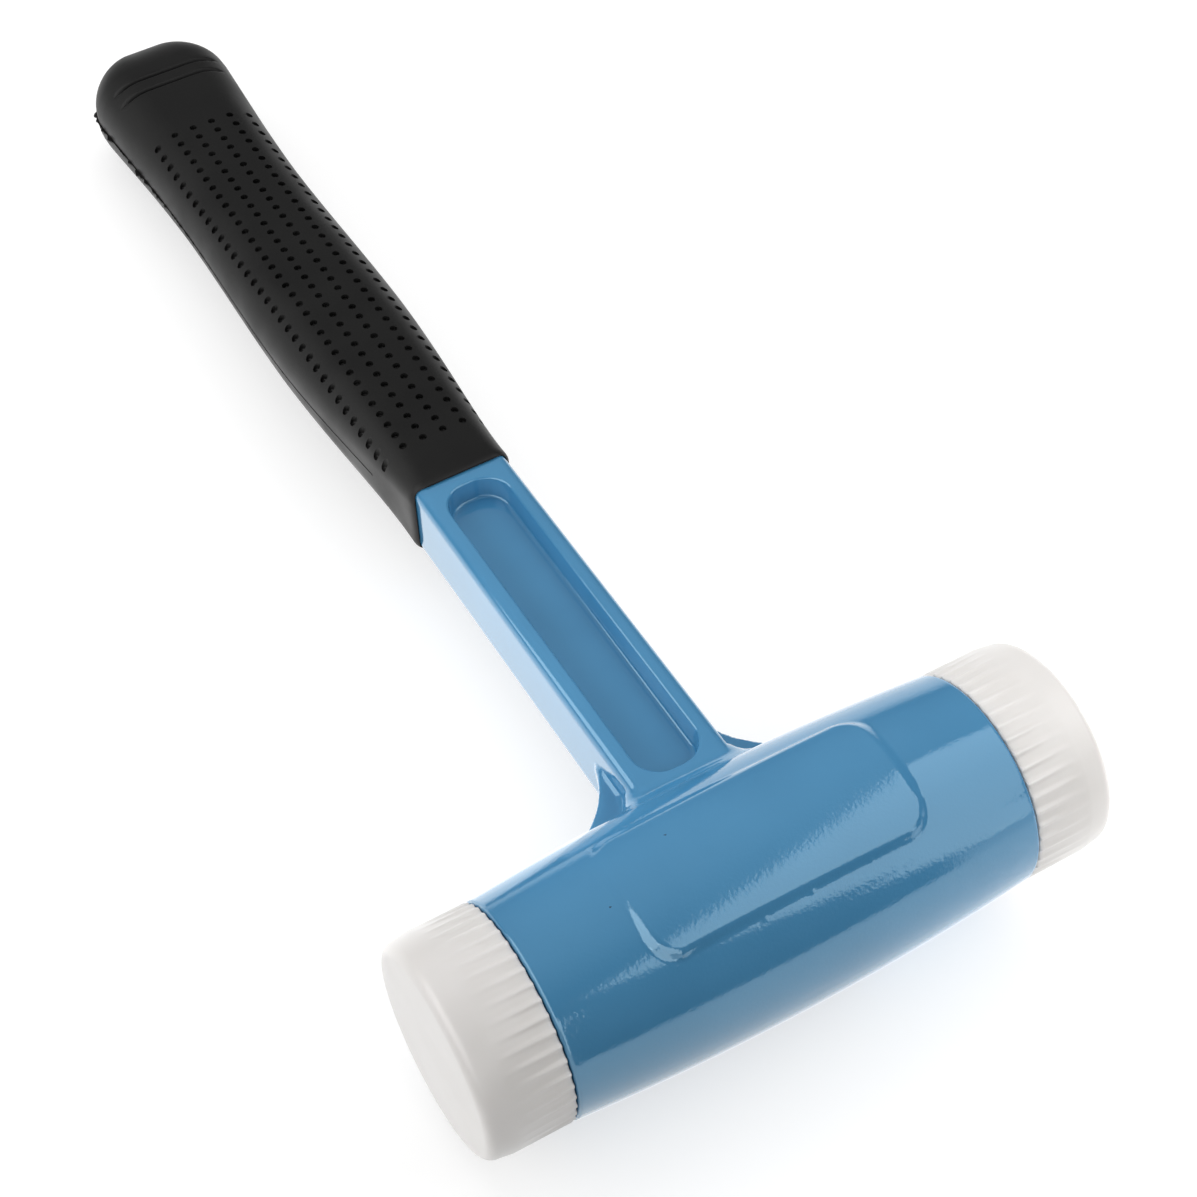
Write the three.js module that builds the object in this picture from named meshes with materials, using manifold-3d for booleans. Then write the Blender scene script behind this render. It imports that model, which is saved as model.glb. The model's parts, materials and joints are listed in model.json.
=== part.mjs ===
// Dead blow hammer: a barrel and I-section shank cast in one piece, two screw-on nylon faces,
// a charge of loose steel shot sealed in the barrel, and a rubber grip over the tang.
// Millimetres. The hammer lies on its back: head axis along X, handle towards +Y, pad up (+Z).
import * as THREE from "three";
import { mergeVertices } from "three/addons/utils/BufferGeometryUtils.js";
import Module from "manifold-3d";

const wasm = await Module();
wasm.setup();

// Clearance that every seat, screw and press joint keeps
const fitGap = 0.3;

// The most that a rounded corner may take of the narrower half side
const cornerShare = 0.98;

// Barrel
const barrelLength = 114;
const barrelEndRadius = 25;
const barrelCrown = 2.4; // how far the middle stands proud of the ends
const barrelEndChamfer = 0.8;
const chamberRadius = 17.1;

// Raised pad on the front of the barrel
const padLength = 66;
const padHeight = 30;
const padCentre = -1.7; // along the handle, clear of the shank's root
const padCornerRadius = 6;
const padRise = 0.5; // above the barrel, along the middle of the pad
const padFlattening = 2.3; // how much larger its radius is than the barrel's

// Shank, an I section whose pockets are drafted
const shankRootWidth = 25.2;
const shankMouthWidth = 24.6;
const shankThickness = 20.8;
const shankCornerRadius = 2.4;
const shankRootFillet = 8;
const pocketWidth = 16;
const pocketStart = 30;
const pocketEnd = 126.8;
const pocketCornerRadius = 6.8;
const pocketDraft = 0.55; // each wall leans in by this much from rim to floor
const pocketFloorFillet = 0.9;
const sectionWeb = 9.6; // what is left between the two pockets
const rootWebRadius = 24.5;
const rootWebThickness = 5;

// Tang inside the grip
const tangWidth = 15;
const tangThickness = 11;
const tangCornerRadius = 3;
const tangEnd = 304;
const tangEndRound = 2;

// Rubber grip
const gripMouth = 130.3; // from the head axis
const gripEnd = 323.2;
const gripLipLength = 3.5; // how far the full shank reaches into the grip
const gripLipWall = 0.9;
const gripMouthCorner = 4.6;
const gripNeckAt = 145; // soon after the mouth the grip is already round
const gripNeckWidth = 28.8;
const gripNeckThickness = 24;
const gripNeckCorner = 10;
const gripSwellAt = 194;
const gripSwellWidth = 36.6;
const gripSwellThickness = 25.8;
const gripWaistAt = 258;
const gripWaistWidth = 35.2;
const gripWaistThickness = 24.9;
const gripButtAt = 306;
const gripButtWidth = 39.2;
const gripButtThickness = 28;
const gripCornerRadius = 12.2; // from the swell to the butt
const gripButtRound = 15; // the end rounds over along this much of the handle
const gripEndWidth = 3; // flat that is left at the very end
const gripEndThickness = 10;
const gripEndCorner = 1.2;

// Nylon faces
const faceLength = 20;
const faceEdgeRadius = 2.5;
const faceDraft = 0.5; // how much slimmer a face is where its edge starts to round
const fluteCount = 45;
const fluteLength = 10;
const fluteDepth = 0.9;

// Studs and the plugs that they screw into
const studRadius = 8;
const studEngagement = 10;
const studTipChamfer = 1.2;
const studNeck = 5; // from the back of the face to the stud's head
const studHeadRadius = 11.5;
const studHeadThickness = 6;
const plugRadius = 20;
const plugThickness = 14;
const plugChamfer = 0.8;
const spannerHoleRadius = 2.2;
const spannerHoleDepth = 5;
const spannerHoleCircle = 14;

// Shot
const shotTravel = 16; // free run that the charge keeps along the chamber

// Facets
const barrelFacets = 64;
const crownSteps = 10;
const turnedFacets = 40;
const drillFacets = 16;
const cornerSteps = 5;
const filletSteps = 5;
const floorFilletSteps = 3;
const edgeSteps = 4;
const gripRings = 20;
const buttRings = 6;

const paint = new THREE.MeshStandardMaterial({ color: 0x5596bf, roughness: 0.25, metalness: 0 });
const rubber = new THREE.MeshStandardMaterial({ color: 0x2c2c2c, roughness: 0.75, metalness: 0 });
const nylon = new THREE.MeshStandardMaterial({ color: 0xe9e6e3, roughness: 0.5, metalness: 0 });
const steel = new THREE.MeshStandardMaterial({ color: 0x9a9ca0, roughness: 0.35, metalness: 1 });

// Sizes that follow from the driving dimensions
const barrelMiddleRadius = barrelEndRadius + barrelCrown;
const halfBarrel = barrelLength / 2;
const chamberLength = barrelLength - 2 * (plugThickness + fitGap);
const shankHalfThickness = shankThickness / 2;
const pocketDepth = (shankThickness - sectionWeb) / 2;

function solidOf(geometry) {
  const bare = geometry.clone();
  bare.deleteAttribute("normal");
  bare.deleteAttribute("uv");
  const merged = mergeVertices(bare, 1e-4);
  const mesh = new wasm.Mesh({
    numProp: 3,
    vertProperties: merged.attributes.position.array,
    triVerts: new Uint32Array(merged.index.array),
  });
  return new wasm.Manifold(mesh);
}

function geometryOf(solid) {
  const mesh = solid.getMesh();
  const geometry = new THREE.BufferGeometry();
  geometry.setAttribute("position", new THREE.BufferAttribute(mesh.vertProperties, 3));
  geometry.setIndex(new THREE.BufferAttribute(mesh.triVerts, 1));
  geometry.computeVertexNormals();
  return geometry;
}

// Skin over rings of equally many points, closed by a fan at both ends
function loft(rings) {
  const count = rings[0].length;
  const points = rings.flat();
  const centreOf = (ring) => {
    const sum = ring.reduce((total, point) => total.add(point), new THREE.Vector3());
    return sum.divideScalar(count);
  };
  const first = points.length;
  const last = first + 1;
  const all = [...points, centreOf(rings[0]), centreOf(rings[rings.length - 1])];
  const faces = [];
  const topRow = (rings.length - 1) * count;
  for (let i = 0; i < count; i++) {
    const next = (i + 1) % count;
    for (let row = 0; row < topRow; row += count) {
      faces.push(row + i, row + count + i, row + next);
      faces.push(row + next, row + count + i, row + count + next);
    }
    faces.push(first, i, next);
    faces.push(last, topRow + next, topRow + i);
  }
  const geometry = new THREE.BufferGeometry().setFromPoints(all);
  geometry.setIndex(faces);
  return geometry;
}

// Rounded rectangle as points with their outward normals, anticlockwise
function roundedOutline(halfWidth, halfHeight, cornerRadius) {
  const radius = Math.min(cornerRadius, cornerShare * Math.min(halfWidth, halfHeight));
  const outline = [];
  const corners = [[1, 1], [-1, 1], [-1, -1], [1, -1]];
  corners.forEach(([sideX, sideY], quarter) => {
    for (let step = 0; step <= cornerSteps; step++) {
      const angle = ((quarter + step / cornerSteps) * Math.PI) / 2;
      const normal = new THREE.Vector2(Math.cos(angle), Math.sin(angle));
      const centre = new THREE.Vector2(sideX * (halfWidth - radius), sideY * (halfHeight - radius));
      outline.push({ point: centre.addScaledVector(normal, radius), normal });
    }
  });
  return outline;
}

// A ring square to the handle
function handleRing(y, halfWidth, halfThickness, radius) {
  const outline = roundedOutline(halfWidth, halfThickness, radius);
  return outline.map(({ point }) => new THREE.Vector3(point.x, y, point.y));
}

// Revolve a profile of (radius, distance along the axis) and lay the axis along +X or -X
function turned(profile, facets, outward) {
  const points = profile.map(([radius, along]) => new THREE.Vector2(radius, along));
  const geometry = new THREE.LatheGeometry(points, facets);
  geometry.rotateZ((-outward * Math.PI) / 2);
  return geometry;
}

function arcPoints(centreRadius, centreAlong, radius, fromAngle, toAngle, steps) {
  const points = [];
  for (let step = 0; step <= steps; step++) {
    const angle = THREE.MathUtils.lerp(fromAngle, toAngle, step / steps);
    points.push([centreRadius + radius * Math.cos(angle), centreAlong + radius * Math.sin(angle)]);
  }
  return points;
}

// Outer radius of the crowned barrel at a distance from its middle
function barrelRadiusAt(along) {
  return barrelMiddleRadius - barrelCrown * (along / halfBarrel) ** 2;
}

function crownedProfile(extraRadius) {
  const reach = halfBarrel - barrelEndChamfer;
  const profile = [];
  for (let step = 0; step <= crownSteps; step++) {
    const along = THREE.MathUtils.lerp(-reach, reach, step / crownSteps);
    profile.push([barrelRadiusAt(along) + extraRadius, along]);
  }
  return profile;
}

function barrelSolid() {
  const rim = barrelEndRadius - barrelEndChamfer;
  const leftEnd = [[0, -halfBarrel], [rim, -halfBarrel]];
  const rightEnd = [[rim, halfBarrel], [0, halfBarrel]];
  const profile = [...leftEnd, ...crownedProfile(0), ...rightEnd];
  return solidOf(turned(profile, barrelFacets, 1));
}

// The bore with a counterbore for the plug at each end
function boreSolid() {
  const seat = halfBarrel - plugThickness - fitGap;
  const plugBore = plugRadius + fitGap;
  const past = halfBarrel + 1;
  const profile = [
    [0, -past],
    [plugBore, -past],
    [plugBore, -seat],
    [chamberRadius, -seat],
    [chamberRadius, seat],
    [plugBore, seat],
    [plugBore, past],
    [0, past],
  ];
  return solidOf(turned(profile, barrelFacets, 1));
}

// The pad follows the barrel's crown, on a flatter radius with its centre behind the head axis
function padSolid() {
  const padRadius = barrelMiddleRadius + padFlattening;
  const centreZ = barrelMiddleRadius + padRise - padRadius;
  const profile = [[0, -halfBarrel], ...crownedProfile(padFlattening), [0, halfBarrel]];
  const skin = turned(profile, barrelFacets, 1);
  skin.translate(0, 0, centreZ);
  const outline = roundedOutline(padLength / 2, padHeight / 2, padCornerRadius);
  const shape = new THREE.Shape(outline.map(({ point }) => point));
  const block = new THREE.ExtrudeGeometry(shape, { depth: barrelMiddleRadius, bevelEnabled: false });
  block.translate(0, padCentre, barrelMiddleRadius / 2);
  return solidOf(skin).intersect(solidOf(block));
}

function shankWidthAt(y) {
  const share = (y - barrelMiddleRadius) / (gripMouth - barrelMiddleRadius);
  return THREE.MathUtils.lerp(shankRootWidth, shankMouthWidth, share);
}

// Shank and tang from inside the barrel; grown by a clearance they make the grip's socket
function handleRings(growth) {
  const full = (y) => {
    const halfWidth = shankWidthAt(y) / 2 + growth;
    return handleRing(y, halfWidth, shankHalfThickness + growth, shankCornerRadius + growth);
  };
  const tang = (y, shrink) => {
    const grown = growth - shrink;
    return handleRing(y, tangWidth / 2 + grown, tangThickness / 2 + grown, tangCornerRadius + grown);
  };
  const shoulder = gripMouth + gripLipLength + growth;
  const tip = tangEnd + growth;
  const shank = [full(chamberRadius), full(shoulder)];
  return [...shank, tang(shoulder, 0), tang(tip - tangEndRound, 0), tang(tip, tangEndRound)];
}

// One drafted pocket, cut from the front (side 1) or the back (side -1) of the shank
function pocketSolid(side) {
  const middleY = (pocketStart + pocketEnd) / 2;
  const halfLength = (pocketEnd - pocketStart) / 2;
  const rimZ = shankHalfThickness;
  const floorZ = rimZ - pocketDepth;
  const levels = [];
  for (let step = 0; step <= floorFilletSteps; step++) {
    const angle = (step * Math.PI) / (2 * floorFilletSteps);
    const rise = pocketFloorFillet * (1 - Math.cos(angle));
    const inset = pocketFloorFillet * (1 - Math.sin(angle));
    levels.push([floorZ + rise, pocketDraft + inset]);
  }
  levels.push([rimZ, 0], [rimZ + pocketDepth, -pocketDraft]);
  const rings = levels.map(([z, inset]) => {
    const outline = roundedOutline(pocketWidth / 2 - inset, halfLength - inset, pocketCornerRadius - inset);
    return outline.map(({ point }) => new THREE.Vector3(point.x, middleY + point.y, z));
  });
  const geometry = loft(rings.map((ring) => ring.reverse()));
  if (side < 0) geometry.rotateY(Math.PI);
  return solidOf(geometry);
}

// Fillet from the shank's sides into the round of the barrel, as a ball rolled along the corner
function rootFilletSolid() {
  const radius = shankRootFillet;
  const outline = roundedOutline(shankRootWidth / 2, shankHalfThickness, shankCornerRadius);
  const topY = barrelMiddleRadius + 2 * radius;
  const ringAt = (share) =>
    outline.map(({ point, normal }) => {
      const ballX = point.x + radius * normal.x;
      const ballZ = point.y + radius * normal.y;
      const reach = barrelRadiusAt(ballX) + radius;
      const ballY = Math.sqrt(reach ** 2 - ballZ ** 2);
      const toShank = new THREE.Vector3(-normal.x, 0, -normal.y);
      const toBarrel = new THREE.Vector3(0, -ballY, -ballZ).divideScalar(reach);
      const turn = toShank.angleTo(toBarrel);
      const rolled = toShank.multiplyScalar(Math.sin((1 - share) * turn));
      rolled.addScaledVector(toBarrel, Math.sin(share * turn)).divideScalar(Math.sin(turn));
      return new THREE.Vector3(ballX, ballY, ballZ).addScaledVector(rolled, radius);
    });
  const rings = [outline.map(({ point }) => new THREE.Vector3(point.x, topY, point.y))];
  for (let step = 0; step <= filletSteps; step++) rings.push(ringAt(step / filletSteps));
  const drawnIn = 0.8; // the foot narrows to this share, so that it stays buried in the barrel's wall
  const foot = rings[rings.length - 1];
  rings.push(foot.map((point) => new THREE.Vector3(point.x, chamberRadius, drawnIn * point.z)));
  return solidOf(loft(rings.reverse()));
}

// The curved web that runs from the side of the shank out along the top of the barrel
function rootWebSolid() {
  const halfWidth = shankRootWidth / 2 - fitGap;
  const top = barrelRadiusAt(halfWidth + rootWebRadius) + rootWebRadius - fitGap;
  const shape = new THREE.Shape();
  shape.moveTo(-halfWidth, top);
  shape.absarc(-halfWidth - rootWebRadius, top, rootWebRadius, 0, -Math.PI / 2, true);
  shape.lineTo(-halfWidth - rootWebRadius, chamberRadius);
  shape.lineTo(halfWidth + rootWebRadius, chamberRadius);
  shape.absarc(halfWidth + rootWebRadius, top, rootWebRadius, -Math.PI / 2, -Math.PI, true);
  const options = { depth: rootWebThickness, bevelEnabled: false, curveSegments: 10 };
  const geometry = new THREE.ExtrudeGeometry(shape, options);
  geometry.translate(0, 0, -rootWebThickness / 2);
  return solidOf(geometry);
}

function hammerBody() {
  const pocketed = solidOf(loft(handleRings(0)))
    .add(rootFilletSolid())
    .add(rootWebSolid())
    .subtract(pocketSolid(1))
    .subtract(pocketSolid(-1));
  const cast = barrelSolid().add(padSolid()).add(pocketed).subtract(boreSolid());
  return geometryOf(cast);
}

// Rings of the grip from its mouth to its butt
function gripStretch() {
  const lip = fitGap + gripLipWall;
  const mouthWidth = shankWidthAt(gripMouth) + 2 * lip;
  const stations = [
    [gripMouth, mouthWidth, shankThickness + 2 * lip, gripMouthCorner],
    [gripNeckAt, gripNeckWidth, gripNeckThickness, gripNeckCorner],
    [gripSwellAt, gripSwellWidth, gripSwellThickness, gripCornerRadius],
    [gripWaistAt, gripWaistWidth, gripWaistThickness, gripCornerRadius],
    [gripButtAt, gripButtWidth, gripButtThickness, gripCornerRadius],
  ];
  const along = (size) => {
    const points = stations.map((station) => new THREE.Vector2(station[0], station[size]));
    return new THREE.SplineCurve(points).getPoints(gripRings);
  };
  const widths = along(1);
  const thicknesses = along(2);
  const corners = along(3);
  return widths.map((width, i) => handleRing(width.x, width.y / 2, thicknesses[i].y / 2, corners[i].y));
}

// The butt rounds over to a small flat end
function gripButt() {
  const rings = [];
  for (let step = 1; step <= buttRings; step++) {
    const angle = (step * Math.PI) / (2 * buttRings);
    const y = gripEnd - gripButtRound * (1 - Math.sin(angle));
    const between = (end, butt) => THREE.MathUtils.lerp(end, butt, Math.cos(angle));
    const halfWidth = between(gripEndWidth, gripButtWidth) / 2;
    const halfThickness = between(gripEndThickness, gripButtThickness) / 2;
    rings.push(handleRing(y, halfWidth, halfThickness, between(gripEndCorner, gripCornerRadius)));
  }
  return rings;
}

function grip() {
  const outside = solidOf(loft([...gripStretch(), ...gripButt()]));
  const socket = solidOf(loft(handleRings(fitGap)));
  return geometryOf(outside.subtract(socket));
}

// Pull every second line of a face's fluted stretch inwards, fading out along the face
function cutFlutes(geometry) {
  const position = geometry.attributes.position;
  for (let i = 0; i < position.count; i++) {
    const x = position.getX(i);
    const along = position.getY(i);
    const z = position.getZ(i);
    const radius = Math.hypot(x, z);
    const lineAngle = Math.PI / fluteCount;
    const line = Math.round(Math.atan2(x, z) / lineAngle);
    const fade = 1 - along / fluteLength;
    if (radius < barrelEndRadius - fluteDepth || fade <= 0 || line % 2 === 0) continue;
    const share = (radius - fluteDepth * fade) / radius;
    position.setX(i, x * share);
    position.setZ(i, z * share);
  }
}

// Back of the face at 0, striking face at faceLength
function faceBlank() {
  const edge = barrelEndRadius - faceDraft;
  const round = faceLength - faceEdgeRadius;
  const profile = [
    [0, 0],
    [barrelEndRadius, 0],
    [barrelEndRadius, fluteLength / 2],
    [barrelEndRadius, fluteLength],
    ...arcPoints(edge - faceEdgeRadius, round, faceEdgeRadius, 0, Math.PI / 2, edgeSteps),
    [0, faceLength],
  ];
  const points = profile.map(([radius, along]) => new THREE.Vector2(radius, along));
  const geometry = new THREE.LatheGeometry(points, 2 * fluteCount);
  cutFlutes(geometry);
  return geometry;
}

// Stud along its axis, with 0 at the back of the face; grown by a clearance it makes the face's pocket
function studProfile(growth, tip) {
  const radius = studRadius + growth;
  const headStart = studNeck - growth;
  const headEnd = studNeck + studHeadThickness + growth;
  return [
    [0, tip],
    [radius - studTipChamfer, tip],
    [radius, tip + studTipChamfer],
    [radius, headStart],
    [studHeadRadius + growth, headStart],
    [studHeadRadius + growth, headEnd],
    [0, headEnd],
  ];
}

function face(outward) {
  const blank = faceBlank();
  blank.rotateZ((-outward * Math.PI) / 2);
  const pocket = solidOf(turned(studProfile(fitGap, -studEngagement), turnedFacets, outward));
  const geometry = geometryOf(solidOf(blank).subtract(pocket));
  geometry.translate(outward * (halfBarrel + fitGap), 0, 0);
  return geometry;
}

function stud(outward) {
  const geometry = turned(studProfile(0, -studEngagement), turnedFacets, outward);
  geometry.translate(outward * (halfBarrel + fitGap), 0, 0);
  return geometry;
}

// Plug with its outer end at 0, a blind hole for the stud and two holes for a pin spanner
function plug(outward) {
  const hole = studRadius + fitGap;
  const holeEnd = -studEngagement - fitGap;
  const profile = [
    [0, -plugThickness],
    [plugRadius - plugChamfer, -plugThickness],
    [plugRadius, -plugThickness + plugChamfer],
    [plugRadius, -plugChamfer],
    [plugRadius - plugChamfer, 0],
    [hole, 0],
    [hole, holeEnd],
    [0, holeEnd],
  ];
  let solid = solidOf(turned(profile, turnedFacets, outward));
  for (const side of [-1, 1]) {
    const radius = spannerHoleRadius;
    const drill = new THREE.CylinderGeometry(radius, radius, 2 * spannerHoleDepth, drillFacets);
    drill.rotateZ(Math.PI / 2);
    drill.translate(0, side * spannerHoleCircle, 0);
    solid = solid.subtract(solidOf(drill));
  }
  const geometry = geometryOf(solid);
  geometry.translate(outward * halfBarrel, 0, 0);
  return geometry;
}

// Three shot fit across the chamber; five of the seven rows are filled, level as the hammer lies
const shotRadius = (chamberRadius - 2 * fitGap) / 3;
const shotPitch = 2 * shotRadius + fitGap;
const shotsInRow = Math.max(1, Math.floor((chamberLength - shotTravel) / shotPitch));
const rowAngles = [0, Math.PI, -Math.PI / 3, (-2 * Math.PI) / 3];

function shotPlaces() {
  const rows = [new THREE.Vector2(0, 0)];
  for (const angle of rowAngles) {
    rows.push(new THREE.Vector2(shotPitch * Math.cos(angle), shotPitch * Math.sin(angle)));
  }
  const places = [];
  for (const row of rows) {
    for (let i = 0; i < shotsInRow; i++) {
      places.push(new THREE.Vector3((i - (shotsInRow - 1) / 2) * shotPitch, row.x, row.y));
    }
  }
  return places;
}

const hammer = new THREE.Group();

function addPiece(name, geometry, material) {
  const mesh = new THREE.Mesh(geometry, material);
  mesh.name = name;
  hammer.add(mesh);
  return mesh;
}

addPiece("hammer_body", hammerBody(), paint);
addPiece("grip", grip(), rubber);
for (const [side, outward] of [["left", -1], ["right", 1]]) {
  addPiece(`${side}_face`, face(outward), nylon);
  addPiece(`${side}_stud`, stud(outward), steel);
  addPiece(`${side}_end_plug`, plug(outward), steel);
}
shotPlaces().forEach((place, index) => {
  const name = `shot_${String(index + 1).padStart(2, "0")}`;
  addPiece(name, new THREE.IcosahedronGeometry(shotRadius, 1), steel).position.copy(place);
});

// Lay the hammer down: it rests on the middle of the barrel and on the butt of the grip
const buttReach = Math.hypot(gripButtAt, gripButtThickness / 2);
const buttAngle = Math.atan2(gripButtThickness / 2, gripButtAt);
hammer.rotation.x = buttAngle - Math.asin(barrelMiddleRadius / buttReach);

// Origin under the middle of the laid hammer
const part = new THREE.Group();
part.add(hammer);
part.updateMatrixWorld(true);
const bounds = new THREE.Box3().setFromObject(part, true);
hammer.position.set(0, -(bounds.min.y + bounds.max.y) / 2, -bounds.min.z);

export default part;
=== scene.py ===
# Dead blow hammer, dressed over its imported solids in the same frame, in metres
import json
import math
import bpy
import numpy as np
from mathutils import Matrix, Vector


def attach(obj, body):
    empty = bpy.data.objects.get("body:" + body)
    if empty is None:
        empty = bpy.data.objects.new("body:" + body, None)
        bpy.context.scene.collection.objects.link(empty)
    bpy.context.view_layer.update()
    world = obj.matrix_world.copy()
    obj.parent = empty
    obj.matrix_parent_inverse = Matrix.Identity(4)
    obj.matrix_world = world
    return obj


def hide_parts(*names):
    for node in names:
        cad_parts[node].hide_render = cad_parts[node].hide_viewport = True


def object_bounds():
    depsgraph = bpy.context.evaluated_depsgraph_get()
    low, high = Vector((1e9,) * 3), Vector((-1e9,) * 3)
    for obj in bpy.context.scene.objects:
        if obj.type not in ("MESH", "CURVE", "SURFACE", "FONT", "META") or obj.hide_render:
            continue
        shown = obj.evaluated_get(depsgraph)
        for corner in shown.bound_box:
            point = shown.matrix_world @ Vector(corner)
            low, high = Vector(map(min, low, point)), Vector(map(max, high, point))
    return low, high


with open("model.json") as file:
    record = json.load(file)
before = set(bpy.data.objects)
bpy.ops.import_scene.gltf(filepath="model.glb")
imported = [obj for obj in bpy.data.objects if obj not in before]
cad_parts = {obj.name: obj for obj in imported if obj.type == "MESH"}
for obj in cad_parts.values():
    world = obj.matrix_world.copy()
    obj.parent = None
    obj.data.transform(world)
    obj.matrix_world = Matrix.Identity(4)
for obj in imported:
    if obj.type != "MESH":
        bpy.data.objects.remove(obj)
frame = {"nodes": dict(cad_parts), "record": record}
cadLow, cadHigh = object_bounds()
mm = 0.001
tiny = 0.001  # in mm, keeps a division away from nought
weldDistance = 0.001 * mm

# Sizes that several pieces share, in mm, in the hammer's own axes:
# X along the head, Y from the head axis up the handle, Z out of the pad
hammer = {
    "barrelLength": 114,
    "barrelEndRadius": 25,
    "barrelCrown": 2.4,
    "shankRootWidth": 25.2,
    "shankMouthWidth": 24.6,
    "shankThickness": 20.8,
    "shankCorner": 2.4,
    "tangWidth": 15,
    "tangThickness": 11,
    "tangEnd": 304,
    "chamberRadius": 17.1,
    "plugRadius": 20,
    "plugThickness": 14,
    "studRadius": 8,
    "studEngagement": 10,
    "studNeck": 5,
    "studHeadRadius": 11.5,
    "studHeadThickness": 6,
    "fitGap": 0.3,
}
halfBarrel = hammer["barrelLength"] / 2
middleRadius = hammer["barrelEndRadius"] + hammer["barrelCrown"]
fitGap = hammer["fitGap"]

grip = {
    "mouth": 130.3,
    "end": 323.2,
    "lipLength": 3.5,
    "lipWall": 0.9,
    "lipRound": 1.8,  # along the handle
    "lipInset": 0.75,  # across it
    "buttRound": 15,
    "endSize": (3, 10, 1.2),
    "blankRadius": 15,
    "around": 128,
    "curveSteps": 60,
    "ringStep": 1.5,
    "grooveStep": 0.16,
    "grooves": (299.3, 304.2),
    "grooveDepth": 1.5,
    "grooveHalfWidth": 0.5,
    "grooveReach": 14.5,
    "grooveFade": (3, 1.5),  # before and past that reach
}
mouthLip = 2 * (fitGap + grip["lipWall"])
gripStations = [  # distance up the handle, width, thickness, corner radius
    (grip["mouth"], hammer["shankMouthWidth"] + mouthLip, hammer["shankThickness"] + mouthLip, 4.6),
    (145, 28.8, 24.0, 7.5),
    (194, 36.6, 25.8, 12.2),
    (258, 35.2, 24.9, 12.2),
    (306, 39.2, 28.0, 12.2),
]

# The hammer lies on its back, on the barrel and the butt
headPlace = Vector(frame["record"]["mounts"][0]["pos_m"])
buttAt, buttHalf = gripStations[-1][0], gripStations[-1][2] / 2
layTilt = math.atan2(buttHalf, buttAt) - math.asin(middleRadius / math.hypot(buttAt, buttHalf))
laid = Matrix.Translation((0, headPlace.y, headPlace.z)) @ Matrix.Rotation(layTilt, 4, "X")


# Small helpers for modelling by hand
def pickOnly(*pieces):
    bpy.ops.object.select_all(action="DESELECT")
    for piece in pieces:
        piece.select_set(True)
    bpy.context.view_layer.objects.active = pieces[0]


def startEdit(piece, kind="VERT"):
    pickOnly(piece)
    bpy.ops.object.mode_set(mode="EDIT")
    bpy.ops.mesh.select_mode(type=kind)
    bpy.ops.mesh.select_all(action="SELECT")


def endEdit():
    bpy.ops.object.mode_set(mode="OBJECT")


# Before and after faces, edges or points are picked in code
def clearPicks(piece, kind="VERT"):
    startEdit(piece, kind)
    bpy.ops.mesh.select_all(action="DESELECT")
    endEdit()


def editPicks(piece):
    pickOnly(piece)
    bpy.ops.object.mode_set(mode="EDIT")


# Put a piece's place, turn and scale into its mesh
def applyPlace(piece):
    pickOnly(piece)
    bpy.ops.object.transform_apply(location=True, rotation=True, scale=True)


# Merge doubled points and turn the faces outwards
def cleanMesh(piece):
    startEdit(piece)
    bpy.ops.mesh.remove_doubles(threshold=weldDistance)
    bpy.ops.mesh.normals_make_consistent(inside=False)
    endEdit()


def useModifier(piece, kind, **settings):
    pickOnly(piece)
    modifier = piece.modifiers.new(kind.lower(), kind)
    for name, value in settings.items():
        setattr(modifier, name, value)
    bpy.ops.object.modifier_apply(modifier=modifier.name)


def cutOrJoin(piece, tool, operation):
    useModifier(piece, "BOOLEAN", object=tool, operation=operation, solver="MANIFOLD")
    bpy.data.objects.remove(tool)


def placesOf(piece):
    flat = np.empty(3 * len(piece.data.vertices))
    piece.data.vertices.foreach_get("co", flat)
    return flat.reshape(-1, 3) / mm


def setPlaces(piece, places):
    piece.data.vertices.foreach_set("co", (places * mm).ravel())
    piece.data.update()


def softStep(low, high, value):
    share = np.clip((value - low) / (high - low), 0, 1)
    return share * share * (3 - 2 * share)


# The object that an operator has just added
def newPiece(name):
    piece = bpy.context.view_layer.objects.active
    piece.name = piece.data.name = name
    return piece


def addObject(name, data):
    piece = bpy.data.objects.new(name, data)
    bpy.context.scene.collection.objects.link(piece)
    return piece


# Give a piece's points new places, and clean its mesh
def reshape(piece, x, y, z):
    setPlaces(piece, np.column_stack((x, y, z)))
    cleanMesh(piece)


# Revolve (radius, distance along the head axis) round the X axis
def turnProfile(name, profile, steps):
    mesh = bpy.data.meshes.new(name)
    points = [(along * mm, 0, radius * mm) for radius, along in profile]
    mesh.from_pydata(points, [(i, i + 1) for i in range(len(points) - 1)], [])
    piece = addObject(name, mesh)
    startEdit(piece)
    bpy.ops.mesh.spin(steps=steps, angle=2 * math.pi, center=(0, 0, 0), axis=(1, 0, 0))
    endEdit()
    cleanMesh(piece)
    return piece


# Lay a piece down with the hammer and put it in its CAD node's stead
def finishPiece(piece, body, node, slot):
    material, sharpAngle = finishes[slot]
    piece.location = laid.translation
    piece.rotation_euler = (layTilt, 0, 0)
    applyPlace(piece)
    setPlaces(piece, np.clip(placesOf(piece), np.array(cadLow) / mm, np.array(cadHigh) / mm))
    bpy.ops.object.shade_smooth_by_angle(angle=math.radians(sharpAngle))
    piece.data.materials.clear()
    piece.data.materials.append(material)
    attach(piece, body)
    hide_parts(node)
    print("finished", piece.name, len(piece.data.vertices), "points")


# Node helpers
def newMaterial(name, settings):
    material = bpy.data.materials.new(name)
    material.use_nodes = True
    shader = material.node_tree.nodes["Principled BSDF"]
    for socket, value in settings.items():
        shader.inputs[socket].default_value = value
    return material, material.node_tree, shader


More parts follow.
